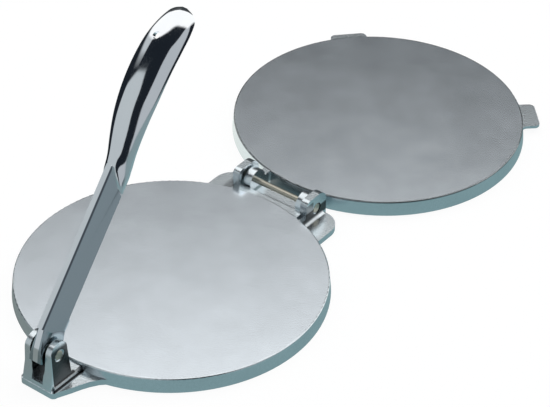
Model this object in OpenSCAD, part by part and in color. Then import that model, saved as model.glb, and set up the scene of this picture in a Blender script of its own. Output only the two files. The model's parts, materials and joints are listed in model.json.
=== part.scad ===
// Hinged plate press for flattening balls of dough, all cast pieces and plain pins.
// Millimetres. The origin is at the centre of the base plate, on the table. +Z is up,
// +Y runs from the lever lug at the front to the hinge at the back. The press stands open.

/* [Plates] */
// Diameter of both pressing plates
plate_d = 200; // [170:1:230]
// Height of the base plate's face above the table
base_h = 10; // [9:0.5:12]
// Gap left between the two faces when the press is shut
shut_gap = 0.4; // [0.3:0.1:1.5]
// Thickness of the pressing wall of each plate
skin_t = 5; // [4:0.5:6]
// Width of the rim under each plate
rim_w = 5.5; // [4:0.5:8]
// Width of the stiffening ribs
rib_w = 3.5; // [3:0.5:5]
// Number of radial ribs under each plate
rib_count = 8; // [6:1:12]
// Radius of the hub where the ribs meet
hub_r = 15; // [12:1:20]
// Radius of the ring rib
ring_r = 54; // [45:1:60]
// Rounding of the edge round each pressing face
edge_r = 0.8; // [0.6:0.2:2]
// Draft of the plate walls, added to the radius at the foot
wall_draft = 0.9; // [0:0.1:1.5]

/* [Rear hinge] */
// Distance from the plate's edge to the hinge axis
hinge_out = 12.1; // [11:0.1:14]
// Diameter of the hinge pin
hinge_pin_d = 4; // [3:0.5:5]
// Radial clearance of a turning pin
run_gap = 0.05; // [0.02:0.01:0.09]
// Distance from the middle to the inner face of each knuckle
knuckle_x = 18.6; // [14:0.2:22]
// Width of each knuckle on the top plate
knuckle_w = 5.6; // [4:0.2:8]
// Radius of the knuckles
knuckle_r = 7.9; // [7:0.1:9]
// Side gap between a knuckle and the ear beside it
side_gap = 1.2; // [0.4:0.1:1.5]
// Width of each ear on the base
ear_w = 5.2; // [4.6:0.2:7]
// Rise of the ears above the hinge axis
ear_rise = 10.4; // [9:0.2:12]
// Reach of the ears in front of the hinge axis
ear_front = 11.4; // [9:0.2:11.6]
// Reach of the ears behind the hinge axis
ear_back = 10.2; // [9:0.2:12]
// Thickness of the rear shoulder plate
shoulder_t = 4.2; // [3:0.2:6]
// Half-width of the rear shoulder plate
shoulder_x = 47.6; // [42:0.2:56]
// Radius of the shoulder's corners
shoulder_r = 14; // [8:1:20]
// Reach of the ledge between the ears beyond the plate's edge
ledge_out = 3.2; // [1:0.1:3.3]
// Depth of the recess round each pin end
recess_depth = 1.2; // [0.6:0.1:1.8]
// Radius of the fillet at the outer foot of each ear
ear_foot_r = 3; // [1:0.2:4]

/* [Finger tabs] */
// Angle of each tab from the middle of the plate's far side
tab_angle = 47; // [30:1:60]
// Width of each tab
tab_w = 26.4; // [18:0.4:34]
// Reach of each tab beyond the plate's edge
tab_out = 11.8; // [8:0.2:16]
// Thickness of each tab
tab_t = 2; // [1.6:0.2:3.4]
// Height of the tab's upper face above the table, with the press open
tab_top = 5.2; // [4:0.2:7]
// Radius of the tab's corners
tab_r = 4; // [2:0.5:6]
// Radius of the fillets where a tab leaves the plate
tab_fillet = 4; // [1:0.5:6]

/* [Lever lug] */
// Distance from the base plate's edge to the lever pin
lug_out = 16.5; // [15:0.1:20]
// Height of the lever pin above the table
lever_pin_z = 26.5; // [25:0.1:30]
// Diameter of the lever pin
lever_pin_d = 6; // [5:0.5:7]
// Interference of the lever pin in its ears
press_gap = 0.01; // [0.005:0.005:0.02]
// Width of the slot between the lever ears
slot_w = 12.2; // [11:0.2:14]
// Width over both lever ears at their foot
lug_w = 22.6; // [22:0.2:28]
// Width over both lever ears at the height of their shoulders
lug_top_w = 20.4; // [19:0.2:22]
// Radius of the rounded top of the lever ears
lug_top_r = 7.8; // [7.2:0.1:8.6]
// Height of the block under the lever ears
block_h = 8; // [7:0.5:9]
// Reach of the block beyond the ears on each side, as a sloping ledge
block_ledge = 1.1; // [0.4:0.1:2]
// Thickness of the flange round the lug
flange_t = 4.2; // [3:0.2:6]
// Reach of the flange in front of the lever pin
flange_out = 10.5; // [9.5:0.5:14]

/* [Lever] */
// Rise of the lever above level, as it stands here
lever_rest = 51.2; // [40:0.1:70]
// Slope of the lever below level when the press is shut
lever_shut = 2.6; // [1:0.1:4]
// Width of the bar's back
bar_w = 14; // [12:0.2:16]
// Width of the bar's narrow front
bar_front_w = 3.6; // [3:0.2:6]
// Depth of the bar from back to front
bar_depth = 14; // [12:0.2:16]
// Offset of the bar's back from the pin axis
bar_back = 0.9; // [0:0.1:2]
// Width of the tongue that turns on the pin
tongue_w = 9; // [8:0.2:10]
// Radius of the hub round the pin
lever_hub_r = 8.8; // [8:0.1:9]
// Radius of the arches cut beside the tongue
arch_r = 14; // [12:0.5:16]
// Distance from the pin to the end of the heel that bears on the top plate
heel_u = 20.5; // [19:0.5:24]
// Gap left between heel and top plate when shut
heel_gap = 0.3; // [0.2:0.05:0.5]

/* [Grip] */
// Distance from the pin to the back end of the bar, where the grip starts
grip_start = 102; // [90:0.5:120]
// Length of the grip from there to its tip
grip_l = 116.5; // [100:0.5:130]
// Slant of the joint between bar and grip, measured along the bar
grip_lean = 14.8; // [8:0.2:18]
// Greatest width of the grip
grip_w = 26.2; // [22:0.2:32]
// Height of the grip's arch, for the fingers
grip_arch = 12.3; // [8:0.1:16]
// Wall of the hollow grip
grip_wall = 3; // [2:0.2:4]
// Diameter of the hanging hole
hang_d = 4.6; // [3:0.2:7]
// Distance from the hanging hole to the grip's tip
hang_in = 21; // [17:0.5:26]

/* [Hidden] */
$fn = 96;
fine = 0.01;

plate_r = plate_d / 2;
hinge_y = plate_r + hinge_out;
hinge_z = base_h + shut_gap;
top_h = hinge_z;
shut_top = hinge_z + top_h;
top_y = 2 * hinge_y;

knuckle_end = knuckle_x + knuckle_w;
ear_x = knuckle_end + side_gap;
ear_end = ear_x + ear_w;
head_rim = 1.2;
head_gap = 1;
head_sink = 0.3;
head_lift = 0.2;
head_r = hinge_pin_d / 2 + head_rim;
recess_r = head_r + head_gap;
head_t = recess_depth - head_sink - head_lift;
knuckle_notch = 0.7;
shoulder_set = 3.3;
ledge_drop = 0.5;
arm_drop = 2.4;

lever_y = -(plate_r + lug_out);
lug_foot = lever_pin_z - block_h;
lug_slope = 2.2;
lug_shoulder_z = lug_top_r - lug_slope;
lug_back = lug_top_r + 0.8;
lug_lean = 2;
lug_top_lift = 1.6;
lug_crest = 0.6;
foot_top_z = -9;
foot_set = 0.4;
foot_lip = 7;
slot_taper = 1.2;
slot_waist_z = -11.2;
slot_foot_taper = 1.8;
slot_foot_z = -13.5;
slot_depth = 3.2;
lever_recess_r = lever_pin_d / 2 + 1.2;
lever_recess_depth = 0.6;
lever_pin_sink = 0.4;
lug_half = lug_top_w / 2 + (lug_w - lug_top_w) / 2 * lug_shoulder_z / (lug_foot + lug_shoulder_z);
lever_pin_half = lug_half - lever_pin_sink;
shut_swing = lever_rest + lever_shut;
heel_v = -(lever_pin_z - shut_top - heel_gap - heel_u * sin(lever_shut)) / cos(lever_shut);

cast_grey = [0.70, 0.73, 0.76];
face_grey = [0.56, 0.59, 0.62];
polished = [0.86, 0.87, 0.88];
pin_steel = [0.74, 0.68, 0.58];

// One pressing plate with its face at z = h, centred on the origin, hollow below and ribbed
module ribbed_disc(h) {
    rotate_extrude($fn = 180)
        union() {
            translate([0, h - skin_t]) square([plate_r - edge_r, skin_t]);
            translate([0, h - skin_t]) square([plate_r, skin_t - edge_r]);
            translate([plate_r - edge_r, h - edge_r]) circle(edge_r);
            translate([plate_r - rim_w, 0])
                polygon([[0, 0], [rim_w + wall_draft, 0], [rim_w, h - edge_r], [0, h - edge_r]]);
            square([hub_r, h - fine]);
            translate([ring_r, 0]) square([rib_w, h - fine]);
        }
    for (i = [0 : rib_count - 1])
        rotate([0, 0, (i + 0.5) * 360 / rib_count])
            translate([hub_r / 2, -rib_w / 2, 0])
                cube([plate_r - rim_w / 2 - hub_r / 2, rib_w, h - skin_t / 2]);
}

// Prism along X between two stations, drawn in the plane of Y and Z
module along_x(from_x, to_x) {
    translate([from_x, 0, 0])
        rotate([90, 0, 90])
            linear_extrude(to_x - from_x) children();
}

// Cylinder along X between two stations
module bar_x(from_x, to_x, r) {
    translate([from_x, 0, 0])
        rotate([0, 90, 0])
            cylinder(h = to_x - from_x, r = r);
}

// Both sides of what stands on the +X side
module both_sides() {
    children();
    mirror([1, 0, 0]) children();
}

// Outline of a base ear in Y and Z, with the hinge axis at the origin
module ear_outline() {
    front_r = 4;
    back_r = 8;
    translate([-ear_front, -hinge_z]) square([ear_front + ear_back, hinge_z + ear_rise - back_r]);
    translate([-ear_front + front_r, -hinge_z])
        square([ear_front + ear_back - front_r - back_r, hinge_z + ear_rise]);
    translate([-ear_front, -hinge_z]) square([ear_front, hinge_z + ear_rise - front_r]);
    translate([-ear_front + front_r, ear_rise - front_r]) circle(front_r);
    translate([ear_back - back_r, ear_rise - back_r]) circle(back_r);
}

// Outline of the rear shoulder plate in X and Y
module shoulder_outline() {
    back_y = hinge_y + ear_back - shoulder_set;
    translate([-shoulder_x, plate_r * 0.8]) square([2 * shoulder_x, back_y - shoulder_r - plate_r * 0.8]);
    translate([-shoulder_x + shoulder_r, plate_r * 0.8])
        square([2 * (shoulder_x - shoulder_r), back_y - plate_r * 0.8]);
    for (side = [-1, 1])
        translate([side * (shoulder_x - shoulder_r), back_y - shoulder_r]) circle(shoulder_r);
}

// Room for a knuckle and its web in the base, over the whole swing
module knuckle_room() {
    room_r = knuckle_r + knuckle_notch;
    translate([0, hinge_y, hinge_z]) {
        bar_x(knuckle_x - side_gap, ear_x, room_r);
        translate([knuckle_x - side_gap, 0, -hinge_z - 1])
            cube([ear_x - knuckle_x + side_gap, 3 * room_r, hinge_z + 1]);
    }
}

// Half outline of the front flange beyond its nose: reach to the side and to the back of each
// point, sweeping out in a curve until it meets the plate
flange_sweep = [[3, 3], [6.8, 11.2], [9.2, 17.2], [11.8, 22.5], [15, 27.4], [19.6, 32]];

// Outline of the front flange in X and Y
module flange_outline() {
    nose_r = 3;
    nose_x = lug_w / 2 - 0.5;
    nose_y = lever_y - flange_out;
    wing_x = nose_x + flange_sweep[len(flange_sweep) - 1][0];
    polygon(concat(
        [for (p = flange_sweep) [nose_x + p[0], nose_y + p[1]]],
        [[wing_x, -plate_r * 0.8], [-wing_x, -plate_r * 0.8]],
        [for (i = [len(flange_sweep) - 1 : -1 : 0])
            [-nose_x - flange_sweep[i][0], nose_y + flange_sweep[i][1]]]));
    translate([-nose_x, nose_y]) square([2 * nose_x, nose_r + 1]);
    for (side = [-1, 1]) translate([side * nose_x, nose_y + nose_r]) circle(nose_r);
}

// Outline of the lever ears in Y and Z, with the pin axis at the origin
module lug_outline() {
    polygon([
        [-lug_top_r, lug_top_lift], [-lug_top_r, -lug_foot - 1], [lug_back, -lug_foot - 1],
        [lug_back - lug_lean, lug_shoulder_z], [0, lug_shoulder_z]]);
    intersection() {
        translate([0, lug_top_lift]) circle(lug_top_r);
        translate([-lug_top_r, 0]) square([lug_top_r + lug_back - lug_lean, 2 * lug_top_r]);
    }
}

// Outline of the lever ears in X and Z, both ears with the slot between them
module lug_front() {
    top_z = lug_top_r + lug_top_lift + 1;
    for (side = [-1, 1])
        polygon([
            [side * slot_w / 2, top_z], [side * slot_w / 2, lug_top_lift],
            [side * (slot_w / 2 - slot_taper), slot_waist_z],
            [side * (slot_w / 2 - slot_foot_taper), slot_foot_z],
            [side * (slot_w / 2 - slot_foot_taper), -lug_foot - 1], [side * lug_w / 2, -lug_foot - 1],
            [side * lug_w / 2, -lug_foot], [side * lug_top_w / 2, lug_shoulder_z],
            [side * (lug_top_w / 2 - lug_crest), top_z]]);
}

module lever_ears() {
    translate([0, lever_y, lever_pin_z])
        intersection() {
            along_x(-lug_w, lug_w) lug_outline();
            translate([0, 2 * lug_top_r, 0])
                rotate([90, 0, 0])
                    linear_extrude(4 * lug_top_r) lug_front();
        }
}

// Outline in X and Z of what stands in front of the block: both ears' feet over a low lip
module foot_front() {
    lug_front();
    translate([-lug_w / 2, -lever_pin_z + fine]) square([lug_w, foot_lip]);
}

// Sloping foot from the front of the lever ears down to the flange's edge
module lug_apron() {
    foot_z = flange_t - lever_pin_z - fine;
    translate([0, lever_y, lever_pin_z])
        intersection() {
            along_x(-lug_w, lug_w)
                polygon([
                    [-lug_top_r + fine, foot_top_z], [-flange_out + foot_set, foot_z],
                    [-lug_top_r + fine, foot_z]]);
            translate([0, 2 * lug_top_r, 0])
                rotate([90, 0, 0])
                    linear_extrude(4 * lug_top_r) foot_front();
        }
}

// Block under the lever ears, its sides sloping out to a low ledge
module lug_block() {
    half = lug_w / 2;
    ledge_z = block_h - 1.3 * block_ledge;
    translate([0, lever_y - lug_top_r, 0])
        rotate([90, 0, 180])
            linear_extrude(lug_out + lug_top_r)
                polygon([
                    [-half - block_ledge, 0], [half + block_ledge, 0], [half + block_ledge, ledge_z],
                    [half, block_h], [-half, block_h], [-half - block_ledge, ledge_z]]);
}

// Fillet along the outer foot of a hinge ear
module ear_foot() {
    front_y = plate_r * 0.93;
    translate([ear_end - fine, hinge_y + ear_back - shoulder_set - 1, shoulder_t - fine])
        rotate([90, 0, 0])
            linear_extrude(hinge_y + ear_back - shoulder_set - 1 - front_y)
                difference() {
                    square(ear_foot_r + fine);
                    translate([ear_foot_r + fine, ear_foot_r + fine]) circle(ear_foot_r);
                }
}

// Cast base: plate, lever lug in front, hinge ears and shoulders behind
module base_plate() {
    slot_floor = block_h - slot_depth;
    color(cast_grey)
        difference() {
            union() {
                ribbed_disc(base_h);
                linear_extrude(flange_t) difference() {
                    flange_outline();
                    circle(plate_r - rim_w);
                }
                linear_extrude(shoulder_t) difference() {
                    shoulder_outline();
                    circle(plate_r - rim_w);
                }
                linear_extrude(base_h - ledge_drop) difference() {
                    translate([-ear_x - fine, plate_r * 0.9])
                        square([2 * (ear_x + fine), plate_r * 0.1 + ledge_out]);
                    circle(plate_r - rim_w);
                }
                lug_block();
                lever_ears();
                lug_apron();
                both_sides() {
                    translate([0, hinge_y, hinge_z]) along_x(ear_x, ear_end) ear_outline();
                    translate([ear_x, plate_r * 0.9, 0])
                        cube([ear_w, hinge_y - plate_r * 0.9, base_h - arm_drop]);
                    ear_foot();
                }
            }
            both_sides() {
                knuckle_room();
                translate([0, hinge_y, hinge_z]) {
                    bar_x(ear_x - 1, ear_end + 1, hinge_pin_d / 2 + run_gap);
                    bar_x(ear_end - recess_depth, ear_end + 1, recess_r);
                }
                translate([0, lever_y, lever_pin_z])
                    bar_x(lever_pin_half - lever_recess_depth, lug_w, lever_recess_r);
            }
            translate([0, lever_y, lever_pin_z])
                bar_x(-lug_w, lug_w, lever_pin_d / 2 - press_gap);
            translate([-slot_w / 2 + slot_foot_taper, lever_y - lug_top_r, slot_floor])
                cube([slot_w - 2 * slot_foot_taper, 2 * lug_top_r, block_h]);
        }
}

// Steel hinge pin, free to turn, with a low head set over in each ear's recess
module hinge_pin() {
    seat_x = ear_end - recess_depth + head_lift;
    color(pin_steel)
        translate([0, hinge_y, hinge_z]) {
            bar_x(-ear_end + head_sink, ear_end - head_sink, hinge_pin_d / 2);
            both_sides() bar_x(seat_x, seat_x + head_t, head_r);
        }
}

// Outline of the finger tabs in X and Y, with the plate's centre at the origin, running into
// the plate's edge in small fillets
module tab_outline() {
    out = plate_r + tab_out;
    offset(r = -tab_fillet) offset(delta = tab_fillet) union() {
        circle(plate_r, $fn = 180);
        for (side = [-1, 1])
            rotate([0, 0, side * tab_angle]) {
                translate([-tab_w / 2, plate_r * 0.9]) square([tab_w, out - tab_r - plate_r * 0.9]);
                translate([-tab_w / 2 + tab_r, plate_r * 0.9])
                    square([tab_w - 2 * tab_r, out - plate_r * 0.9]);
                for (end = [-1, 1])
                    translate([end * (tab_w / 2 - tab_r), out - tab_r]) circle(tab_r, $fn = 48);
            }
    }
}

// Cast top plate, lying open with its pressing face up
module top_plate() {
    web_y = plate_r - sqrt(plate_r ^ 2 - knuckle_end ^ 2) + hinge_out;
    color(face_grey)
        difference() {
            union() {
                translate([0, top_y, 0]) ribbed_disc(top_h);
                translate([0, top_y, tab_top - tab_t])
                    linear_extrude(tab_t) difference() {
                        tab_outline();
                        circle(plate_r - rim_w / 2);
                    }
                translate([0, hinge_y, hinge_z])
                    both_sides() {
                        bar_x(knuckle_x, knuckle_end, knuckle_r);
                        translate([knuckle_x, 0, -knuckle_r])
                            cube([knuckle_w, web_y + 2, knuckle_r - fine]);
                    }
            }
            translate([0, hinge_y, hinge_z])
                bar_x(-ear_end, ear_end, hinge_pin_d / 2 + run_gap);
        }
}

// Steel lever pin, pressed into both lever ears
module lever_pin() {
    color(pin_steel)
        translate([0, lever_y, lever_pin_z])
            bar_x(-lever_pin_half, lever_pin_half, lever_pin_d / 2);
}

// Value between two rows of a table of [station, value], with smooth slopes through the rows
function slope_at(t, i) =
    i <= 0 ? (t[1][1] - t[0][1]) / (t[1][0] - t[0][0]) :
    i >= len(t) - 1 ? (t[i][1] - t[i - 1][1]) / (t[i][0] - t[i - 1][0]) :
    (t[i + 1][1] - t[i - 1][1]) / (t[i + 1][0] - t[i - 1][0]);
function row_at(t, s, i = 0) = i >= len(t) - 2 || s <= t[i + 1][0] ? i : row_at(t, s, i + 1);
function eased(t, s) =
    let (i = row_at(t, s), span = t[i + 1][0] - t[i][0], f = (s - t[i][0]) / span)
    (1 + 2 * f) * (1 - f) ^ 2 * t[i][1] + f * (1 - f) ^ 2 * span * slope_at(t, i)
    + f ^ 2 * (3 - 2 * f) * t[i + 1][1] - f ^ 2 * (1 - f) * span * slope_at(t, i + 1);
function ramp(s, from, to) = let (f = min(1, max(0, (s - from) / (to - from)))) f * f * (3 - 2 * f);

// Shape of the grip by share of its length: rim and crown as shares of the arch, half-width as
// a share of the greatest width
rim_rise = [[0, 0], [0.1, 0.05], [0.23, 0.5], [0.387, 0.86], [0.526, 1], [0.665, 1],
    [0.795, 0.78], [0.89, 0.48], [0.96, 0.26], [1, 0.45]];
crown_rise = [[0, 0], [0.1, 0.02], [0.23, 0.48], [0.387, 0.9], [0.526, 1.02], [0.665, 0.97],
    [0.795, 0.8], [0.89, 0.47], [0.96, 0.11], [0.985, -0.17], [1, -0.46]];
half_share = [[0, 0.268], [0.1, 0.285], [0.23, 0.345], [0.387, 0.428], [0.526, 0.485],
    [0.665, 0.5], [0.795, 0.481], [0.89, 0.42], [0.96, 0.31], [0.985, 0.2], [1, 0.05]];
// Stations along the grip, closer together at the rounded tip
station_count = 20;
tip_ease = 1.25;
stations = [for (i = [0 : station_count]) 1 - (1 - i / station_count) ^ tip_ease];
side_steps = 4;
top_steps = 4;
section_steps = 2 * side_steps + top_steps;
corner_angle = 62;
// Start of the swept bar, inside the arches
bar_start = 11.5;
// Where the tongue's front starts to fall towards its toe, and how far the toe overhangs the hub
toe_u = 16.5;
toe_lip = 0.4;
// Share of the heel's length where its flat starts, and its run-out into the bar's back
heel_flat = 0.62;
heel_run = 6;
// Setting of the tongue inside the bar's faces
blend = 0.05;
// Share of the grip's length by which the bar's wedge has become round, and the shares between
// which its back is hollowed out
joint_by = 0.05;
solid_until = 0.1;
hollow_by = 0.3;
hollow_until = 0.86;
solid_by = 0.955;

// Angle of point k round a section: the two sides, with the top between their corners
function ring_angle(k) =
    k <= side_steps ? corner_angle * k / side_steps :
    k >= section_steps - side_steps ? 180 - corner_angle * (section_steps - k) / side_steps :
    corner_angle + (180 - 2 * corner_angle) * (k - side_steps) / top_steps;
// The same point on the bar's wedge section, as [share of half-width, share of depth]
function wedge_point(k) =
    let (
        side = min(k, section_steps - k) / side_steps,
        across = 1 - 2 * (k - side_steps) / top_steps,
        front_share = bar_front_w / bar_w,
        edge = k < section_steps / 2 ? 1 : -1)
    side < 1 ? [edge * (1 - side * (1 - front_share)), side] : [across * front_share, 1];

function rim_at(s) = bar_back + grip_arch * eased(rim_rise, s);
function crown_at(s) = bar_back + bar_depth + grip_arch * eased(crown_rise, s);
function half_at(s) = grip_w * eased(half_share, s);
// Lean of the section at station s, from the slanted joint at the bar to square, and how the
// joint's line curves up the bar's side
function lean_at(s) = grip_lean * (1 - ramp(s, 0, 0.4)) * (1 - s);
function lean_share(up) = max(0, up) ^ 1.35;

// One point of the outer skin at station s, as [x, along, depth]
function skin_point(s, k) =
    let (
        a = ring_angle(k), wedge = wedge_point(k), round = ramp(s, 0, joint_by),
        share = [round * cos(a) + (1 - round) * wedge[0], round * sin(a) + (1 - round) * wedge[1]],
        lean = lean_at(s), crown = crown_at(s + lean / grip_l * (1 - s)))
    [half_at(s) * share[0], grip_start + s * grip_l + lean * lean_share(share[1]),
        rim_at(s) + (crown - rim_at(s)) * share[1]];
// One point of the hollow underneath
function hollow_point(s, k) =
    let (
        a = 180 - ring_angle(k),
        depth = ramp(s, solid_until, hollow_by) * (1 - ramp(s, hollow_until, solid_by)),
        lip = min(grip_wall, half_at(s) * 0.45))
    [(half_at(s) - lip) * cos(a), grip_start + s * grip_l,
        rim_at(s) + depth * (crown_at(s) - rim_at(s) - grip_wall) * sin(a)];
function section(s) = concat(
    [for (k = [0 : section_steps]) skin_point(s, k)],
    [for (k = [0 : section_steps]) hollow_point(s, k)]);
// The bar's wedge section square across it, where the swept bar starts
function bar_section() = [for (p = section(0)) [p[0], bar_start, p[2]]];
function ring_middle(ring) =
    (ring[0] + ring[section_steps] + 2 * ring[section_steps / 2]) / 4;

// Bar and domed, hollow-backed grip as one swept shell
module bar_and_grip() {
    rings = concat([bar_section()], [for (s = stations) section(s)]);
    size = len(rings[0]);
    last = len(rings) - 1;
    start_middle = len(rings) * size;
    polyhedron(
        points = concat([for (ring = rings) each ring], [ring_middle(rings[0]), ring_middle(rings[last])]),
        faces = concat(
            [for (i = [0 : last - 1]) for (k = [0 : size - 1])
                each [[i * size + k, i * size + (k + 1) % size, (i + 1) * size + (k + 1) % size],
                    [i * size + k, (i + 1) * size + (k + 1) % size, (i + 1) * size + k]]],
            [for (k = [0 : size - 1]) [start_middle, (k + 1) % size, k]],
            [for (k = [0 : size - 1])
                [start_middle + 1, last * size + k, last * size + (k + 1) % size]]));
}

// Outline of the tongue in the plane of the bar, with its toe and its heel
module tongue_outline() {
    front = bar_back + bar_depth;
    polygon([
        [heel_u + heel_run, front], [toe_u, front], [toe_u / 2, front - 1.7],
        [-2.6, front - 4.9], [-lever_hub_r - toe_lip, 6], [-lever_hub_r, 3], [-lever_hub_r, 0],
        [0, 0], [0, -lever_hub_r], [3, -lever_hub_r], [heel_u * heel_flat, heel_v],
        [heel_u, heel_v], [heel_u + heel_run, bar_back + 1]]);
}

// Section of the tongue in X and depth: the bar's wedge, no wider than the tongue
module tongue_section() {
    half = tongue_w / 2;
    front_half = bar_front_w / 2 - blend;
    front = bar_back + bar_depth - blend;
    narrow = front - bar_depth * (half - bar_front_w / 2) / (bar_w / 2 - bar_front_w / 2);
    polygon([
        [-half, -2 * lever_hub_r], [half, -2 * lever_hub_r], [half, narrow],
        [front_half, front], [-front_half, front], [-half, narrow]]);
}

module tongue() {
    intersection() {
        along_x(-tongue_w, tongue_w) tongue_outline();
        translate([0, 3 * heel_u, 0]) rotate([90, 0, 0]) linear_extrude(6 * heel_u) tongue_section();
    }
    bar_x(-tongue_w / 2, tongue_w / 2, lever_hub_r);
}

// Cast lever: tongue and hub on the pin, bar and grip, standing at its rest angle
module lever() {
    color(polished)
        translate([0, lever_y, lever_pin_z])
            rotate([lever_rest, 0, 0])
                difference() {
                    union() {
                        difference() {
                            bar_and_grip();
                            bar_x(tongue_w / 2, bar_w, arch_r);
                            bar_x(-bar_w, -tongue_w / 2, arch_r);
                            translate([0, grip_start + grip_l - hang_in, 0])
                                cylinder(h = 4 * bar_depth, d = hang_d);
                        }
                        tongue();
                    }
                    bar_x(-tongue_w, tongue_w, lever_pin_d / 2 + run_gap);
                }
}

base_plate();
hinge_pin();
top_plate();
lever_pin();
lever();
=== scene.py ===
import json
import math

import bpy
from mathutils import Matrix, Vector


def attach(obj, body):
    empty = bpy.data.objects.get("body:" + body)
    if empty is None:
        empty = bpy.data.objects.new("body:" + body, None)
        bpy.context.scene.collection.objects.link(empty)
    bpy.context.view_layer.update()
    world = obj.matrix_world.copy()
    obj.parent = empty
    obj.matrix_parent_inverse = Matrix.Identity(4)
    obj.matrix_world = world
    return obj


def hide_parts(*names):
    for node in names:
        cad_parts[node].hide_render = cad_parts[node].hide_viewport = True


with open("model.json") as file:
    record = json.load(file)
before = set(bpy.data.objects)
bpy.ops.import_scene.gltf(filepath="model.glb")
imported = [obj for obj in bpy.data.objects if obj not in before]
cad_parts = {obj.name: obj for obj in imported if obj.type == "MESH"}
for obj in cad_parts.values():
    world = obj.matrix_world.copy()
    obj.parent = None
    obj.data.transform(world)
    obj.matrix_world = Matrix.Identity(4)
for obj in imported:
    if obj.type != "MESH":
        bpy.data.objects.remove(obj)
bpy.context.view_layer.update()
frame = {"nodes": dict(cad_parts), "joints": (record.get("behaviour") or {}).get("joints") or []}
mm = 0.001
print("frame loaded:", sorted(frame["nodes"]))

# where the moving parts sit, in mm and degrees
joints = {joint["name"]: joint["pos_m"] for joint in frame["joints"]}
press = {
    "plateRadius": 100.0,
    "shutGap": 0.4,
    "hingeY": joints["pin_in_base"][1] / mm,
    "hingeZ": joints["pin_in_base"][2] / mm,
    "leverY": joints["lever_swing"][1] / mm,
    "leverZ": joints["lever_swing"][2] / mm,
    "leverRest": 51.2,
}
press["topCentre"] = 2 * press["hingeY"]


# small helpers for picking and finishing, used by every piece

def deselectAll():
    if bpy.context.object and bpy.context.object.mode != "OBJECT":
        bpy.ops.object.mode_set(mode="OBJECT")
    bpy.ops.object.select_all(action="DESELECT")


def pick(*things):
    deselectAll()
    for thing in things:
        thing.select_set(True)
    bpy.context.view_layer.objects.active = things[0]
    return things[0]


def liveModifier(thing, kind, **settings):
    modifier = thing.modifiers.new(kind.title(), kind)
    for name, value in settings.items():
        setattr(modifier, name, value)
    return modifier


def applyModifier(thing, kind, **settings):
    pick(thing)
    bpy.ops.object.modifier_apply(modifier=liveModifier(thing, kind, **settings).name)


def meshObject(name, points, faces):
    mesh = bpy.data.meshes.new(name)
    mesh.from_pydata(points, [], faces)
    made = bpy.data.objects.new(name, mesh)
    bpy.context.scene.collection.objects.link(made)
    return made


def editAll(thing):
    pick(thing)
    bpy.ops.object.mode_set(mode="EDIT")
    bpy.ops.mesh.select_all(action="SELECT")


def closeShell():
    # in edit mode, with all selected: faces outwards, then back to the object
    bpy.ops.mesh.normals_make_consistent(inside=False)
    bpy.ops.object.mode_set(mode="OBJECT")


def outlineSolid(name, corners, pull):
    # a closed outline, filled and pulled into a solid
    solid = meshObject(name, corners, [list(range(len(corners)))])
    editAll(solid)
    bpy.ops.mesh.extrude_region_move(TRANSFORM_OT_translate={"value": pull})
    bpy.ops.mesh.select_all(action="SELECT")
    closeShell()
    return solid


def rodAlongX(name, low, high, radius, sides=128):
    deselectAll()
    bpy.ops.mesh.primitive_cylinder_add(
        vertices=sides, radius=radius, depth=high - low,
        location=((low + high) / 2, 0, 0), rotation=(0, math.pi / 2, 0))
    rod = bpy.context.object
    rod.name = name
    bpy.ops.object.transform_apply(location=True, rotation=True, scale=True)
    return rod


def combine(thing, tool, how):
    applyModifier(thing, "BOOLEAN", operation=how, object=tool, solver="EXACT")
    bpy.data.objects.remove(tool)


# camera, at the photograph's angle: place in m, turn from the front, down and roll in degrees

cameraSetup = {
    "place": (0.7422, -0.88491, 0.9406),
    "turn": 36.8013,
    "down": 37.1216,
    "roll": 1.2409,
    "lens": 153.675,
    "sensor": 36.0,
}


def buildCamera(setup):
    turned = (Matrix.Rotation(math.radians(setup["turn"]), 4, "Z")
              @ Matrix.Rotation(math.radians(90 - setup["down"]), 4, "X")
              @ Matrix.Rotation(math.radians(setup["roll"]), 4, "Z"))
    deselectAll()
    bpy.ops.object.camera_add(location=setup["place"], rotation=turned.to_euler())
    camera = bpy.context.object
    camera.name = "photoCamera"
    camera.data.lens = setup["lens"]
    camera.data.sensor_width = setup["sensor"]
    bpy.context.scene.camera = camera


buildCamera(cameraSetup)
print("camera set")

# polished lever: straight wedge-shaped bar and a domed, hollow-backed grip
# It is made in mm with its pin at the origin and the bar along Y, then set at its rest angle.

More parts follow.
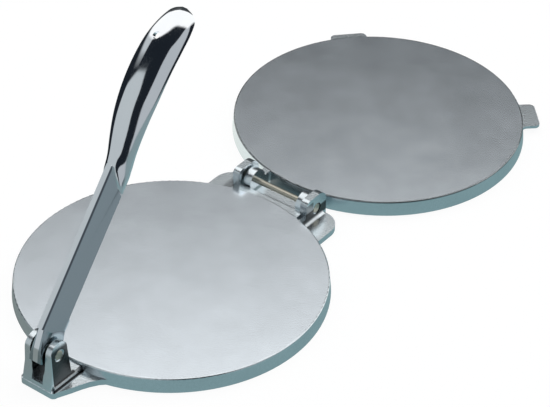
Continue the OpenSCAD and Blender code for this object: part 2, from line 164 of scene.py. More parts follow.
leverForm = {
    "barStart": 11.5,
    "barWidth": 14.0,
    "barFront": 3.6,
    "barDepth": 14.0,
    "barBack": 0.9,
    # the grip's sizes, then its side views and half width along its length, as shares
    "gripStart": 102.0,
    "gripLength": 116.5,
    "gripWidth": 26.2,
    "gripArch": 12.3,
    "gripWall": 3.0,
    "rimRise": ((0, 0), (0.1, 0.05), (0.23, 0.5), (0.387, 0.86), (0.526, 1), (0.665, 1),
                (0.795, 0.78), (0.89, 0.48), (0.96, 0.26), (1, 0.45)),
    "crownRise": ((0, 0), (0.1, 0.02), (0.23, 0.48), (0.387, 0.9), (0.526, 1.02),
                  (0.665, 0.97), (0.795, 0.8), (0.89, 0.47), (0.96, 0.11), (0.985, -0.17),
                  (1, -0.46)),
    "halfShare": ((0, 0.268), (0.1, 0.285), (0.23, 0.345), (0.387, 0.428), (0.526, 0.485),
                  (0.665, 0.5), (0.795, 0.481), (0.89, 0.42), (0.96, 0.31), (0.985, 0.2),
                  (1, 0.05)),
    "hollowStart": (0.1, 0.3),
    "hollowEnd": (0.86, 0.955),
    "lipShare": 0.45,
    # the joint of bar and grip leans back towards the bar's front
    "gripLean": 14.8,
    "leanEnd": 0.4,
    "jointCurve": 1.35,
    "jointBy": 0.016,
    # tongue on the pin, with its heel and toe
    "tongueWidth": 9.0,
    "hubRadius": 8.8,
    "archRadius": 14.0,
    "heelReach": 20.5,
    "heelRun": 6.0,
    "heelDepth": -4.46,
    "heelFlat": 0.62,
    "toeReach": 16.5,
    "toeLip": 0.4,
    "boreRadius": 3.05,
    "hangRadius": 2.3,
    "hangSides": 48,
    "hangIn": 21.0,
    # fineness of the skin
    "stations": 72,
    "tipCrowding": 1.35,
    "sideTurn": 62.0,
    "sideSteps": 12,
    "topSteps": 12,
    "mergeWithin": 0.0005,
    "flatWithin": 0.15,
    "edgeRound": 0.45,
    "roundOver": 32,
    "smoothUnder": 28,
}


def rampUp(value, low, high):
    share = min(1.0, max(0.0, (value - low) / (high - low)))
    return share * share * (3 - 2 * share)


def eased(rows, at):
    # smooth curve through rows of place and value
    row = 0
    while row < len(rows) - 2 and at > rows[row + 1][0]:
        row += 1

    def slope(index):
        before = rows[max(index - 1, 0)]
        after = rows[min(index + 1, len(rows) - 1)]
        return (after[1] - before[1]) / (after[0] - before[0])

    span = rows[row + 1][0] - rows[row][0]
    share = (at - rows[row][0]) / span
    return ((1 + 2 * share) * (1 - share) ** 2 * rows[row][1]
            + share * (1 - share) ** 2 * span * slope(row)
            + share ** 2 * (3 - 2 * share) * rows[row + 1][1]
            - share ** 2 * (1 - share) * span * slope(row + 1))


def gripRing(form, at, steps):
    # one section of the grip: outer skin from side to side, then back under the hollow
    rim = form["barBack"] + form["gripArch"] * eased(form["rimRise"], at)
    lean = form["gripLean"] * (1 - rampUp(at, 0, form["leanEnd"])) * (1 - at)
    crownAt = at + lean / form["gripLength"] * (1 - at)
    front = form["barBack"] + form["barDepth"]
    crown = front + form["gripArch"] * eased(form["crownRise"], crownAt)
    crownHere = front + form["gripArch"] * eased(form["crownRise"], at)
    half = form["gripWidth"] * eased(form["halfShare"], at)
    frontShare = form["barFront"] / form["barWidth"]
    blend = rampUp(at, 0, form["jointBy"])
    corner = form["sideTurn"]
    side, top = form["sideSteps"], form["topSteps"]
    outer, turns = [], []
    for step in range(steps + 1):
        if step <= side:
            angle = corner * step / side
        elif step >= steps - side:
            angle = 180 - corner * (steps - step) / side
        else:
            angle = corner + (180 - 2 * corner) * (step - side) / top
        rise = min(step, steps - step) / side
        hand = 1 if step < steps / 2 else -1
        if rise < 1:
            wedge = (hand * (1 - rise * (1 - frontShare)), rise)
        else:
            wedge = ((1 - 2 * (step - side) / top) * frontShare, 1.0)
        turn = math.radians(angle)
        across = blend * math.cos(turn) + (1 - blend) * wedge[0]
        up = blend * math.sin(turn) + (1 - blend) * wedge[1]
        outer.append((half * across,
                      form["gripStart"] + at * form["gripLength"]
                      + lean * max(0.0, up) ** form["jointCurve"],
                      rim + (crown - rim) * up))
        turns.append(turn)
    depth = rampUp(at, *form["hollowStart"]) * (1 - rampUp(at, *form["hollowEnd"]))
    lip = min(form["gripWall"], half * form["lipShare"])
    inner = [((half - lip) * math.cos(math.pi - turn),
              form["gripStart"] + at * form["gripLength"],
              rim + depth * (crownHere - rim - form["gripWall"]) * math.sin(turn))
             for turn in turns]
    return outer + inner


def buildBarAndGrip(form):
    # rings of points from the bar's start to the grip's tip, closed at both ends
    steps = 2 * form["sideSteps"] + form["topSteps"]
    last = form["stations"]
    shares = [1 - (1 - station / last) ** form["tipCrowding"] for station in range(last + 1)]
    shares[1:1] = [form["jointBy"] * part for part in (0.25, 0.5, 0.75)]
    rings = [gripRing(form, at, steps) for at in shares]
    rings.insert(0, [(x, form["barStart"], z) for x, y, z in rings[0]])
    size = len(rings[0])
    points = [point for ring in rings for point in ring]
    faces = []
    for row in range(len(rings) - 1):
        for spot in range(size):
            here, beside = row * size + spot, row * size + (spot + 1) % size
            faces.append((here, beside, beside + size, here + size))
    faces.append(tuple(reversed(range(size))))
    faces.append(tuple(range((len(rings) - 1) * size, len(rings) * size)))
    body = meshObject("lever_body", points, faces)
    editAll(body)
    bpy.ops.mesh.remove_doubles(threshold=form["mergeWithin"])
    closeShell()
    return body


def buildTongue(form):
    # side view of the tongue, from the bar's front round hub and heel, cut to the bar's section
    half = form["tongueWidth"] / 2
    front = form["barBack"] + form["barDepth"]
    hub, heel, toe = form["hubRadius"], form["heelReach"], form["toeReach"]
    outline = ((heel + form["heelRun"], front), (toe, front), (toe / 2, front - 1.7),
               (-2.6, front - 4.9), (-hub - form["toeLip"], 6), (-hub, 3), (-hub, 0), (0, 0),
               (0, -hub), (3, -hub), (heel * form["heelFlat"], form["heelDepth"]),
               (heel, form["heelDepth"]), (heel + form["heelRun"], form["barBack"] + 1))
    tongue = outlineSolid("tongue", [(-half, y, z) for y, z in outline], (2 * half, 0, 0))

    inset = 0.05  # sinks the tongue's front just below the bar's
    foot, start, length = -20, -40, 100  # the wedge passes the tongue on every side
    frontHalf = form["barFront"] / 2
    narrow = (half - frontHalf) / (form["barWidth"] / 2 - frontHalf)
    shoulder = front - inset - form["barDepth"] * narrow
    section = ((-half, foot), (half, foot), (half, shoulder), (frontHalf - inset, front - inset),
               (inset - frontHalf, front - inset), (-half, shoulder))
    wedge = outlineSolid("tongueWedge", [(x, start, z) for x, z in section], (0, length, 0))
    combine(tongue, wedge, "INTERSECT")
    combine(tongue, rodAlongX("hub", -half, half, hub), "UNION")
    return tongue


def cutHangingHole(body, form):
    depth = 60  # passes the grip
    deselectAll()
    bpy.ops.mesh.primitive_cylinder_add(
        vertices=form["hangSides"], radius=form["hangRadius"], depth=depth,
        location=(0, form["gripStart"] + form["gripLength"] - form["hangIn"], depth / 2))
    bpy.ops.object.transform_apply(location=True, rotation=True, scale=True)
    combine(body, bpy.context.object, "DIFFERENCE")


def buildLever(form):
    body = buildBarAndGrip(form)
    for hand in (1, -1):
        low, high = sorted((hand * form["tongueWidth"] / 2, hand * form["barWidth"]))
        combine(body, rodAlongX("arch", low, high, form["archRadius"]), "DIFFERENCE")
    cutHangingHole(body, form)
    combine(body, buildTongue(form), "UNION")
    boreEnd = 20  # passes the tongue on both sides
    combine(body, rodAlongX("bore", -boreEnd, boreEnd, form["boreRadius"], sides=64),
            "DIFFERENCE")
    applyModifier(body, "DECIMATE", decimate_type="DISSOLVE",
                  angle_limit=math.radians(form["flatWithin"]))
    applyModifier(body, "BEVEL", width=form["edgeRound"], segments=3, limit_method="ANGLE",
                  angle_limit=math.radians(form["roundOver"]), profile=0.5)
    pick(body)
    body.scale = (mm, mm, mm)
    body.rotation_euler = (math.radians(press["leverRest"]), 0, 0)
    body.location = (0, press["leverY"] * mm, press["leverZ"] * mm)
    bpy.ops.object.transform_apply(location=True, rotation=True, scale=True)
    bpy.ops.object.shade_smooth_by_angle(angle=math.radians(form["smoothUnder"]))
    return body


lever = buildLever(leverForm)
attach(lever, "lever")
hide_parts("lever")
print("lever built:", len(lever.data.polygons), "faces")

# cast plates and pins keep their CAD shape, with small rounded edges over it

edgeFinish = {
    "base_plate": {"round": 0.55, "slot": "cast_base"},
    "top_plate": {"round": 0.5, "slot": "cast_top"},
    "hinge_pin": {"round": 0.25, "slot": "pin_steel"},
    "lever_pin": {"round": 0.3, "slot": "pin_steel"},
}
# in mm and degrees
edgeForm = {
    "mergeWithin": 0.02,
    "flatWithin": 0.6,
    "roundOver": 46,
    "flatWeight": 60,
}


def roundEdges(thing, width, form):
    # the node is loose triangles: they are merged and their flats joined before the edges turn
    liveModifier(thing, "WELD", merge_threshold=form["mergeWithin"] * mm)
    liveModifier(thing, "DECIMATE", decimate_type="DISSOLVE",
                 angle_limit=math.radians(form["flatWithin"]))
    liveModifier(thing, "BEVEL", width=width * mm, segments=3, limit_method="ANGLE",
                 angle_limit=math.radians(form["roundOver"]))
    liveModifier(thing, "WEIGHTED_NORMAL", keep_sharp=True, weight=form["flatWeight"])


for nodeName, finish in edgeFinish.items():
    roundEdges(frame["nodes"][nodeName], finish["round"], edgeForm)
print("edges rounded")


# materials: small helpers first, all reading Object coordinates

noiseSpan = (0.3, 0.7)  # nearly all values of a noise texture lie between these


def node(tree, kind, place, **settings):
    made = tree.nodes.new(kind)
    made.location = place
    for name, value in settings.items():
        setattr(made, name, value)
    return made


def feed(tree, socket, value):
    # a fixed number or colour is set on the socket, anything else is linked to it
    if isinstance(value, (int, float)):
        socket.default_value = value
    elif isinstance(value, tuple):
        socket.default_value = (*value, 1)
    else:
        tree.links.new(value, socket)


def mathNode(tree, place, how, first, second):
    made = node(tree, "ShaderNodeMath", place, operation=how)
    feed(tree, made.inputs[0], first)
    feed(tree, made.inputs[1], second)
    return made.outputs[0]


def productOf(tree, place, *values):
    x, y = place
    result = values[0]
    for value in values[1:]:
        result = mathNode(tree, (x, y), "MULTIPLY", result, value)
        x += 60
    return result


def rangeNode(tree, place, value, low, high, newLow, newHigh):
    made = node(tree, "ShaderNodeMapRange", place)
    made.inputs["From Min"].default_value = low
    made.inputs["From Max"].default_value = high
    made.inputs["To Min"].default_value = newLow
    made.inputs["To Max"].default_value = newHigh
    tree.links.new(value, made.inputs["Value"])
    return made.outputs["Result"]


def rising(tree, place, value, start, end):
    # mask that goes from 0 to 1 between two places in mm
    return rangeNode(tree, place, value, start * mm, end * mm, 0, 1)


def falling(tree, place, value, start, end):
    # mask that goes from 1 to 0 between two places in mm
    return rangeNode(tree, place, value, start * mm, end * mm, 1, 0)


def varied(tree, place, noise, low, high):
    return rangeNode(tree, place, noise, *noiseSpan, low, high)


def lengthNode(tree, place, vector):
    made = node(tree, "ShaderNodeVectorMath", place, operation="LENGTH")
    tree.links.new(vector, made.inputs[0])
    return made.outputs["Value"]


def facing(tree, place, direction, towards):
    made = node(tree, "ShaderNodeVectorMath", place, operation="DOT_PRODUCT")
    made.inputs[1].default_value = towards
    tree.links.new(direction, made.inputs[0])
    return made.outputs["Value"]


def splitNode(tree, place, vector):
    made = node(tree, "ShaderNodeSeparateXYZ", place)
    tree.links.new(vector, made.inputs[0])
    return made.outputs


def joinNode(tree, place, x, y):
    made = node(tree, "ShaderNodeCombineXYZ", place)
    tree.links.new(x, made.inputs["X"])
    tree.links.new(y, made.inputs["Y"])
    return made.outputs[0]


def layer(tree, place, under, over, mask):
    # colour sockets of a Mix node: 6 is under, 7 is over, and 2 comes out
    made = node(tree, "ShaderNodeMix", place, data_type="RGBA")
    feed(tree, made.inputs[6], under)
    feed(tree, made.inputs[7], over)
    tree.links.new(mask, made.inputs[0])
    return made.outputs[2]


def bumpNode(tree, place, height, strength, depth):
    made = node(tree, "ShaderNodeBump", place)
    feed(tree, made.inputs["Strength"], strength)
    made.inputs["Distance"].default_value = depth * mm
    tree.links.new(height, made.inputs["Height"])
    return made.outputs["Normal"]


def startMetal(name):
    made = bpy.data.materials.new(name)
    made.use_nodes = True
    shader = made.node_tree.nodes["Principled BSDF"]
    shader.inputs["Metallic"].default_value = 1.0
    return made, made.node_tree, shader.inputs


def dress(thing, material):
    thing.data.materials.clear()
    thing.data.materials.append(material)


# the skin that all the metals share: scales are per metre

skinForm = {
    "Patch Scale": 30.0,
    "Grain Scale": 900.0,
    "Pit Scale": 260.0,
    "pitReach": 0.16,
}


def buildCastSkin(form):
    # blotches, fine grain and small pits of a cast and tumbled surface
    group = bpy.data.node_groups.new("castSkin", "ShaderNodeTree")
    group.interface.new_socket(name="Vector", in_out="INPUT", socket_type="NodeSocketVector")
    for name in ("Patch Scale", "Grain Scale", "Pit Scale"):
        socket = group.interface.new_socket(name=name, in_out="INPUT",
                                            socket_type="NodeSocketFloat")
        socket.default_value = form[name]
    for name in ("Patches", "Grain", "Pits"):
        group.interface.new_socket(name=name, in_out="OUTPUT", socket_type="NodeSocketFloat")
    start = node(group, "NodeGroupInput", (-600, 0))
    end = node(group, "NodeGroupOutput", (400, 0))
    patches = node(group, "ShaderNodeTexNoise", (-300, 200))
    patches.inputs["Detail"].default_value = 4
    patches.inputs["Roughness"].default_value = 0.6
    grain = node(group, "ShaderNodeTexNoise", (-300, -50))
    grain.inputs["Detail"].default_value = 3
    pits = node(group, "ShaderNodeTexVoronoi", (-300, -300))
    for texture, scale in ((patches, "Patch Scale"), (grain, "Grain Scale"), (pits, "Pit Scale")):
        group.links.new(start.outputs["Vector"], texture.inputs["Vector"])
        group.links.new(start.outputs[scale], texture.inputs["Scale"])
    pitMask = rangeNode(group, (-80, -300), pits.outputs["Distance"], 0, form["pitReach"], 1, 0)
    group.links.new(patches.outputs["Fac"], end.inputs["Patches"])
    group.links.new(grain.outputs["Fac"], end.inputs["Grain"])
    group.links.new(pitMask, end.inputs["Pits"])
    return group


castSkin = buildCastSkin(skinForm)


def skinNode(tree, place, where, **scales):
    made = node(tree, "ShaderNodeGroup", place, node_tree=castSkin)
    for name, value in scales.items():
        made.inputs[name.title() + " Scale"].default_value = value
    tree.links.new(where, made.inputs["Vector"])
    return made.outputs


# cast plates: a ground face, cast walls, and boxes of painted shade, darker colour painted into
# corners and recesses where shade and dark reflections fall

def fromLever(x, y, z):
    return (x, press["leverY"] + y, press["leverZ"] + z)


def fromHinge(x, y, z):
    return (x, press["hingeY"] + y, press["hingeZ"] + z)


castFinish = {
    # ends of the masks in mm: radius from the plate's edge, height from its face
    "faceRadius": (-1.5, -0.4),
    "faceHeight": (-0.6, -0.2),
    "rimInner": (-1.1, -0.7),
    "rimOuter": (0.1, 0.3),
    "rimLow": (-1.2, -0.8),
    "rimHigh": (0.1, 0.3),
    "patchTone": 0.05,
    "grainTone": 0.03,
    "patchRough": 0.008,
    "skinBump": 0.35,
    "faceBump": 0.08,
    "bumpDepth": 0.2,
    "pitDepth": -0.6,
}
castLooks = {
    "castBase": {
        "face": (0.82, 0.88, 0.93), "skin": (0.72, 0.78, 0.81),
        # rimPaintedShade: a painted dark line on the rounded rim, standing in for its dark
        # reflection; 1 leaves the base's rim as it is
        "faceRough": 0.21, "skinRough": 0.24, "rimPaintedShade": 1.0,
        "centre": 0.0, "height": press["hingeZ"] - press["shutGap"],
        # middle and half size of each box of painted shade in mm, the same on both sides of the press
        "paintedShades": (
            # painted shade in the slot, on the lug sides, on the block's ledge and in the narrow
            # corner under it
            {"middle": fromLever(0, 3.5, -16), "half": (5.3, 11.5, 6.6), "soft": 0.6, "left": 0.25},
            {"middle": fromLever(11.4, 2, -4.5), "half": (1.45, 9.3, 15), "soft": 0.3, "left": 0.1},
            {"middle": fromLever(12.2, 3.5, -19.6), "half": (0.9, 14, 1.6), "soft": 0.2, "left": 0.6},
            {"middle": fromLever(12.8, 4.5, -21.75), "half": (0.8, 14, 0.7), "soft": 0.2,
             "left": 0.06},
            # painted shade and painted dark reflection on the foot, front and outer side of the hinge
            # ears, and on the shoulder beside them
            {"middle": fromHinge(30.7, -3.1, -2.4), "half": (1.1, 14, 4.2), "soft": 1, "left": 0.12},
            {"middle": fromHinge(28, -11.4, 3.1), "half": (3.2, 0.8, 6), "soft": 0.4, "left": 0.7},
            {"middle": fromHinge(31.2, -7.6, 3.8), "half": (1.2, 4, 4), "soft": 0.6, "left": 0.4},
            {"middle": fromHinge(35, -8.1, -6.2), "half": (4.8, 9.5, 3.4), "soft": 3.4, "left": 0.5},
        )},
    "castTop": {
        "face": (0.82, 0.88, 0.93), "skin": (0.72, 0.78, 0.81),
        # the top plate's rim gets a painted dark line, standing in for the dark reflection of its
        # rounded edge
        "faceRough": 0.21, "skinRough": 0.24, "rimPaintedShade": 0.35,
        "centre": press["topCentre"], "height": press["hingeZ"],
        "paintedShades": (
            # painted shade on the wall between the knuckles
            {"middle": fromHinge(0, 12.4, -7), "half": (18, 3.5, 6), "soft": 0.5, "left": 0.4},
        )},
}


def shadeNode(tree, place, where, shade):
    # 1 outside a box, falling inside it to the painted shade's value
    x, y = place
    sides = []
    for axis, middle, half in zip("XYZ", shade["middle"], shade["half"]):
        value = where[axis]
        if axis == "X":
            value = mathNode(tree, (x, y), "ABSOLUTE", value, 0)
        offset = mathNode(tree, (x + 150, y), "SUBTRACT", value, middle * mm)
        offset = mathNode(tree, (x + 300, y), "ABSOLUTE", offset, 0)
        sides.append(falling(tree, (x + 450, y), offset, half - shade["soft"], half))
        y -= 200
    inside = productOf(tree, (x + 600, y), *sides)
    return rangeNode(tree, (x + 750, y), inside, 0, 1, 1, shade["left"])


def castMasks(tree, centred, finish):
    # the ground face and its turned rim, found by radius and height
    height = splitNode(tree, (-1100, 300), centred)["Z"]
    flat = node(tree, "ShaderNodeVectorMath", (-1100, 150), operation="MULTIPLY")
    flat.inputs[1].default_value = (1, 1, 0)
    tree.links.new(centred, flat.inputs[0])
    radius = lengthNode(tree, (-1000, 150), flat.outputs[0])
    radius = mathNode(tree, (-900, 150), "SUBTRACT", radius, press["plateRadius"] * mm)
    face = productOf(tree, (-550, 300),
                     falling(tree, (-750, 200), radius, *finish["faceRadius"]),
                     rising(tree, (-750, 380), height, *finish["faceHeight"]))
    rim = productOf(tree, (-550, 560),
                    rising(tree, (-750, 560), radius, *finish["rimInner"]),
                    rising(tree, (-750, 740), height, *finish["rimLow"]),
                    falling(tree, (-750, 920), height, *finish["rimHigh"]),
                    falling(tree, (-750, 1100), radius, *finish["rimOuter"]))
    return face, rim


def buildCast(name, look, finish):
    made, tree, shader = startMetal(name)
    place = node(tree, "ShaderNodeTexCoord", (-1500, 0)).outputs["Object"]
    centred = node(tree, "ShaderNodeMapping", (-1300, 0))
    centred.inputs["Location"].default_value = (0, -look["centre"] * mm, -look["height"] * mm)
    tree.links.new(place, centred.inputs["Vector"])
    centred = centred.outputs["Vector"]
    skin = skinNode(tree, (-1000, -200), centred)
    face, rim = castMasks(tree, centred, finish)

    # the face is brighter than the walls; all of it varies a little, and painted shade darkens
    # corners and recesses
    patchTone, grainTone = finish["patchTone"], finish["grainTone"]
    tone = productOf(
        tree, (-500, -150),
        varied(tree, (-700, -100), skin["Patches"], 1 - patchTone, 1 + patchTone),
        varied(tree, (-700, -300), skin["Grain"], 1 - grainTone, 1 + grainTone),
        rangeNode(tree, (-350, 560), rim, 0, 1, 1, look["rimPaintedShade"]))
    where = splitNode(tree, (-1500, -800), place)
    for step, shade in enumerate(look["paintedShades"]):
        paintedShade = shadeNode(tree, (-1300, -800 - 700 * step), where, shade)
        tone = mathNode(tree, (-300 + 20 * step, -150), "MULTIPLY", tone, paintedShade)
    shaded = node(tree, "ShaderNodeVectorMath", (-150, 250), operation="SCALE")
    tree.links.new(layer(tree, (-350, 300), look["skin"], look["face"], face), shaded.inputs[0])
    tree.links.new(tone, shaded.inputs["Scale"])
    tree.links.new(shaded.outputs[0], shader["Base Color"])

    uneven = finish["patchRough"]
    rough = mathNode(tree, (-150, 0), "ADD",
                     rangeNode(tree, (-350, 0), face, 0, 1, look["skinRough"], look["faceRough"]),
                     varied(tree, (-350, -200), skin["Patches"], -uneven, uneven))
    tree.links.new(rough, shader["Roughness"])
    pits = mathNode(tree, (-550, -450), "MULTIPLY", skin["Pits"], finish["pitDepth"])
    height = mathNode(tree, (-350, -400), "ADD", skin["Grain"], pits)
    strength = rangeNode(tree, (-350, -600), face, 0, 1, finish["skinBump"], finish["faceBump"])
    bump = bumpNode(tree, (-150, -350), height, strength, finish["bumpDepth"])
    tree.links.new(bump, shader["Normal"])
    return made


# lever: a mirror grip and front strip, duller bar sides with a painted dark line along their edge,
# and painted shadow under the bar's arches

polishLook = {
    "low": (0.80, 0.83, 0.86),
    "high": (0.90, 0.92, 0.94),
    "barSide": (0.36, 0.43, 0.46),
    # painted shade: the dark line along the bar side's edge by the front strip
    "creaseShade": (0.10, 0.12, 0.14),
    # painted shadow under the bar's arches
    "arch": (0.16, 0.19, 0.21),
    # places in mm, across the lever and along it
    "stripHalf": 1.75,
    "creaseWidth": 0.5,
    "archShade": (-3, -1),
    "tongueSide": (3.6, 4.0),
    "barEnd": (-0.6, 0.2),
    "sharpEdge": 0.2,
    "creaseDepth": (0.88, 0.92),
    "patchScale": 45,
    "grainScale": 500,
    "rough": (0.05, 0.10),
    "dullRough": 0.12,
    "bump": 0.05,
    "bumpDepth": 0.1,
}


def buildPolish(name, look, form):
    made, tree, shader = startMetal(name)
    place = node(tree, "ShaderNodeTexCoord", (-1900, 0)).outputs["Object"]
    skin = skinNode(tree, (-800, -200), place, patch=look["patchScale"], grain=look["grainScale"])
    sharp = look["sharpEdge"]

    # each point's way along the bar, its depth in it and its distance from the middle
    turn = math.radians(press["leverRest"])
    offset = node(tree, "ShaderNodeVectorMath", (-1700, 500), operation="SUBTRACT")
    offset.inputs[1].default_value = (0, press["leverY"] * mm, press["leverZ"] * mm)
    tree.links.new(place, offset.inputs[0])
    offset = offset.outputs[0]
    along = facing(tree, (-1500, 500), offset, (0, math.cos(turn), math.sin(turn)))
    deep = facing(tree, (-1500, 700), offset, (0, -math.sin(turn), math.cos(turn)))
    wide = splitNode(tree, (-1300, 950), place)["X"]
    wide = mathNode(tree, (-1100, 950), "ABSOLUTE", wide, 0)

    # the bar ends at the slanted, curved joint where the grip starts
    back = form["barBack"]
    share = rising(tree, (-1300, 700), deep, back, back + form["barDepth"])
    joint = mathNode(tree, (-1100, 700), "POWER", share, form["jointCurve"])
    joint = mathNode(tree, (-950, 700), "MULTIPLY", joint, form["gripLean"] * mm)
    beyond = mathNode(tree, (-800, 600), "SUBTRACT", along, joint)
    start, end = (form["gripStart"] + part for part in look["barEnd"])
    strip = look["stripHalf"]
    barSide = productOf(tree, (-450, 700),
                        falling(tree, (-650, 600), beyond, start, end),
                        rising(tree, (-900, 950), wide, strip, strip + sharp))
    # painted shade of the rounded edge: a dark line on the bar side next to the front strip
    creaseEnd = strip + look["creaseWidth"]
    creaseShade = productOf(tree, (-650, 1150),
                       falling(tree, (-900, 1150), wide, creaseEnd, creaseEnd + sharp),
                       rangeNode(tree, (-900, 1350), share, *look["creaseDepth"], 0, 1),
                       barSide)

    # painted shadow on the tongue's sides, just inside the arches' round
    arch = form["archRadius"]
    away = lengthNode(tree, (-1100, 1600), joinNode(tree, (-1300, 1600), along, deep))
    start, end = (arch + part for part in look["archShade"])
    shadow = productOf(tree, (-650, 1600),
                       rising(tree, (-900, 1600), away, start, end),
                       falling(tree, (-900, 1800), away, arch, arch + sharp),
                       rising(tree, (-900, 2000), wide, *look["tongueSide"]))

    colour = layer(tree, (-400, 200), look["low"], look["high"], skin["Patches"])
    colour = layer(tree, (-200, 300), colour, look["barSide"], barSide)
    colour = layer(tree, (0, 300), colour, look["creaseShade"], creaseShade)
    colour = layer(tree, (150, 300), colour, look["arch"], shadow)
    tree.links.new(colour, shader["Base Color"])
    rough = mathNode(tree, (-200, 0), "ADD",
                     varied(tree, (-400, 0), skin["Grain"], *look["rough"]),
                     rangeNode(tree, (-400, -100), barSide, 0, 1, 0, look["dullRough"]))
    tree.links.new(rough, shader["Roughness"])
    bump = bumpNode(tree, (-250, -250), skin["Patches"], look["bump"], look["bumpDepth"])
    tree.links.new(bump, shader["Normal"])
    return made


pinLook = {
    "low": (0.42, 0.40, 0.34),
    "high": (0.62, 0.60, 0.50),
    "patchScale": 300,
    "rough": (0.28, 0.45),
}


def buildPinSteel(name, look):
    made, tree, shader = startMetal(name)
    place = node(tree, "ShaderNodeTexCoord", (-1100, 0)).outputs["Object"]
    skin = skinNode(tree, (-800, 0), place, patch=look["patchScale"])
    colour = layer(tree, (-400, 200), look["low"], look["high"], skin["Patches"])
    tree.links.new(colour, shader["Base Color"])
    rough = varied(tree, (-400, 0), skin["Grain"], *look["rough"])
    tree.links.new(rough, shader["Roughness"])
    return made


for nodeName, look in (("base_plate", "castBase"), ("top_plate", "castTop")):
    dress(frame["nodes"][nodeName], buildCast(look, castLooks[look], castFinish))
pinSteel = buildPinSteel("pinSteel", pinLook)
for nodeName in ("hinge_pin", "lever_pin"):
    dress(frame["nodes"][nodeName], pinSteel)
dress(lever, buildPolish("polishedLever", polishLook, leverForm))
print("materials set")

# pale floor, and the table and studio walls that are seen in the metal

studio = {
    "floorSize": 12.0,
    "floorDrop": 0.2,
    "floorColour": (0.85, 0.86, 0.87),
    "floorGlow": 1.08,
    "glowShare": 0.85,
    # the mirrored table in mm: its reach round both plates and round a place before the lug
    "tableReach": (130, 145),
    "lugPlace": (-25, -165, 0),
    "lugReach": (65, 75),
    "tableRight": (0.25, 0.37, 0.39),
    "tableFade": 15,
    "tableSides": (
        {"colour": (0.25, 0.285, 0.28), "right": 15, "left": -30, "front": -300},
        {"colour": (0.95, 0.98, 0.94), "right": -15, "left": -35, "front": 105},
    ),
    # soft box, in m
    "lampPlace": (-0.55, 0.62, 0.85),
    "lampAim": (0.05, -0.04, 0),
    "lampSize": 0.7,
    "lampEnergy": 0.1,
}


def mixShaders(tree, place, mask, first, second):
    mixer = node(tree, "ShaderNodeMixShader", place)
    tree.links.new(mask, mixer.inputs[0])
    tree.links.new(first, mixer.inputs[1])
    tree.links.new(second, mixer.inputs[2])
    return mixer.outputs[0]


def mirroredTable(tree, setup):
    # a table of limited size: grey to the right, darker and white to the left, clear beyond
    place = node(tree, "ShaderNodeTexCoord", (-1900, -600)).outputs["Object"]
    where = splitNode(tree, (-1700, -600), place)
    across, along = where["X"], where["Y"]
    span = press["topCentre"] * mm
    level = rangeNode(tree, (-1500, -800), along, 0, span, 0, span)
    beyond = mathNode(tree, (-1300, -800), "SUBTRACT", along, level)
    away = lengthNode(tree, (-1000, -700), joinNode(tree, (-1150, -700), across, beyond))
    near = falling(tree, (-800, -700), away, *setup["tableReach"])
    ahead = node(tree, "ShaderNodeVectorMath", (-1000, -900), operation="DISTANCE")
    ahead.inputs[1].default_value = [part * mm for part in setup["lugPlace"]]
    tree.links.new(place, ahead.inputs[0])
    ahead = falling(tree, (-800, -900), ahead.outputs["Value"], *setup["lugReach"])
    near = mathNode(tree, (-600, -700), "MAXIMUM", near, ahead)

    colour = setup["tableRight"]
    for step, side in enumerate(setup["tableSides"]):
        x, y = -1300 + 250 * step, -1100
        front = side["front"]
        mask = productOf(tree, (x + 150, y),
                         rising(tree, (x, y), across, side["right"], side["left"]),
                         rising(tree, (x, y - 250), along, front, front + setup["tableFade"]))
        colour = layer(tree, (x + 200, -400), colour, side["colour"], mask)
    table = node(tree, "ShaderNodeEmission", (-300, -400))
    tree.links.new(colour, table.inputs["Color"])
    clear = node(tree, "ShaderNodeBsdfTransparent", (-300, -550))
    return mixShaders(tree, (0, -450), near, clear.outputs[0], table.outputs[0])


def buildFloor(setup):
    deselectAll()
    bpy.ops.mesh.primitive_plane_add(size=setup["floorSize"],
                                     location=(0, 0, -setup["floorDrop"] * mm))
    floor = bpy.context.object
    floor.name = "floor"
    made = bpy.data.materials.new("paleFloor")
    made.use_nodes = True
    tree = made.node_tree
    tree.nodes.clear()
    end = node(tree, "ShaderNodeOutputMaterial", (600, 0))
    diffuse = node(tree, "ShaderNodeBsdfDiffuse", (0, 0))
    feed(tree, diffuse.inputs["Color"], setup["floorColour"])
    white = node(tree, "ShaderNodeEmission", (0, -200))
    white.inputs["Strength"].default_value = setup["floorGlow"]
    rays = node(tree, "ShaderNodeLightPath", (-400, 300)).outputs
    seen = mathNode(tree, (-100, 250), "MULTIPLY", rays["Is Camera Ray"], setup["glowShare"])
    plain = mixShaders(tree, (300, 0), seen, diffuse.outputs[0], white.outputs[0])
    whole = mixShaders(tree, (450, -200), rays["Is Glossy Ray"], plain, mirroredTable(tree, setup))
    tree.links.new(whole, end.inputs["Surface"])
    dress(floor, made)


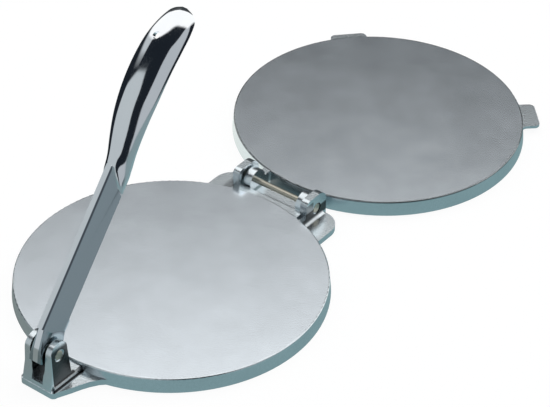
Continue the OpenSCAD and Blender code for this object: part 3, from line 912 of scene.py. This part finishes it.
# panels round the press, each with its corners as turn and rise; later ones cover earlier ones
roomLight = {
    "dark": (0.012, 0.016, 0.022),
    "table": (0.24, 0.32, 0.34),
    "leftTable": (0.72, 0.76, 0.75),
    "leftTurn": -70,
    "leftEdge": (0.3, 0.5),
    "tableEdge": (0.50, 0.56),
    "panels": (
        {"colour": (0.47, 0.50, 0.53), "soft": 0.02,
         "corners": ((93, -32), (109, -2), (103, 17), (90, 21), (36, 3), (64, -32))},
        {"colour": (0.52, 0.56, 0.58), "soft": 0.025,
         "corners": ((121, -33), (133, -6), (147, 28), (166, 43), (-165, 43), (-140, 36),
                     (-113, 12), (-113, -33))},
        {"colour": (0.55, 0.58, 0.60), "soft": 0.05,
         "corners": ((-128, 34), (-104, 16), (-60, -6), (-60, 40), (-90, 60))},
        {"colour": (1.12, 1.12, 1.12), "soft": 0.03,
         "corners": ((48, 5), (63, 30), (95, 64), (-160, 68), (-118, 44), (-88, 16),
                     (-60, -10), (0, -22))},
        {"colour": (0.05, 0.056, 0.06), "soft": 0.02,
         "corners": ((-64, -24), (-66, 28), (-60, 38.4), (-8, 33.4), (-2, 20), (-6, -14))},
    ),
}


def aim(turn, rise):
    # direction in the room: turn from the back towards the right, rise above level
    turned, risen = math.radians(turn), math.radians(rise)
    level = math.cos(risen)
    return (math.sin(turned) * level, math.cos(turned) * level, math.sin(risen))


def panelMask(tree, place, way, panel):
    # inside all the planes that pass through the eye and one side of the panel
    corners = [Vector(aim(*corner)) for corner in panel["corners"]]
    middle = sum(corners, Vector())
    x, y = place
    soft = panel["soft"]
    sides = []
    for first, second in zip(corners, corners[1:] + corners[:1]):
        across = first.cross(second).normalized()
        if across.dot(middle) < 0:
            across = -across
        sides.append(rangeNode(tree, (x, y), facing(tree, (x, y - 200), way, across),
                               -soft, soft, 0, 1))
        x += 200
    return productOf(tree, (x, y), *sides)


def buildWorld(room):
    world = bpy.data.worlds.new("studio")
    bpy.context.scene.world = world
    world.use_nodes = True
    tree = world.node_tree
    tree.nodes.clear()
    end = node(tree, "ShaderNodeOutputWorld", (3000, 0))
    white = node(tree, "ShaderNodeBackground", (2500, 200))
    feed(tree, white.inputs["Color"], (1, 1, 1))
    seen = node(tree, "ShaderNodeBackground", (2500, -100))
    way = node(tree, "ShaderNodeTexCoord", (-900, 0)).outputs["Generated"]

    upper = room["dark"]
    for step, panel in enumerate(room["panels"]):
        inside = panelMask(tree, (-600, -600 * (step + 1)), way, panel)
        upper = layer(tree, (1200 + 200 * step, 0), upper, panel["colour"], inside)

    # the table all round, bright on its left
    left = facing(tree, (-650, 400), way, aim(room["leftTurn"], 0))
    left = rangeNode(tree, (-400, 400), left, *room["leftEdge"], 0, 1)
    table = layer(tree, (-100, 400), room["table"], room["leftTable"], left)
    down = facing(tree, (-650, 700), way, (0, 0, -1))
    down = rangeNode(tree, (-400, 700), down, *room["tableEdge"], 0, 1)
    tree.links.new(layer(tree, (2300, 0), upper, table, down), seen.inputs["Color"])
    rays = node(tree, "ShaderNodeLightPath", (2300, 500)).outputs
    whole = mixShaders(tree, (2800, 0), rays["Is Camera Ray"], seen.outputs[0], white.outputs[0])
    tree.links.new(whole, end.inputs["Surface"])


def buildLamp(setup):
    place = Vector(setup["lampPlace"])
    turned = (Vector(setup["lampAim"]) - place).to_track_quat("-Z", "Y").to_euler()
    deselectAll()
    bpy.ops.object.light_add(type="AREA", location=place, rotation=turned)
    lamp = bpy.context.object
    lamp.name = "softBox"
    lamp.data.size = setup["lampSize"]
    lamp.data.energy = setup["lampEnergy"]


buildFloor(studio)
buildWorld(roomLight)
buildLamp(studio)
bpy.context.scene.view_settings.view_transform = "Standard"
print("studio set")
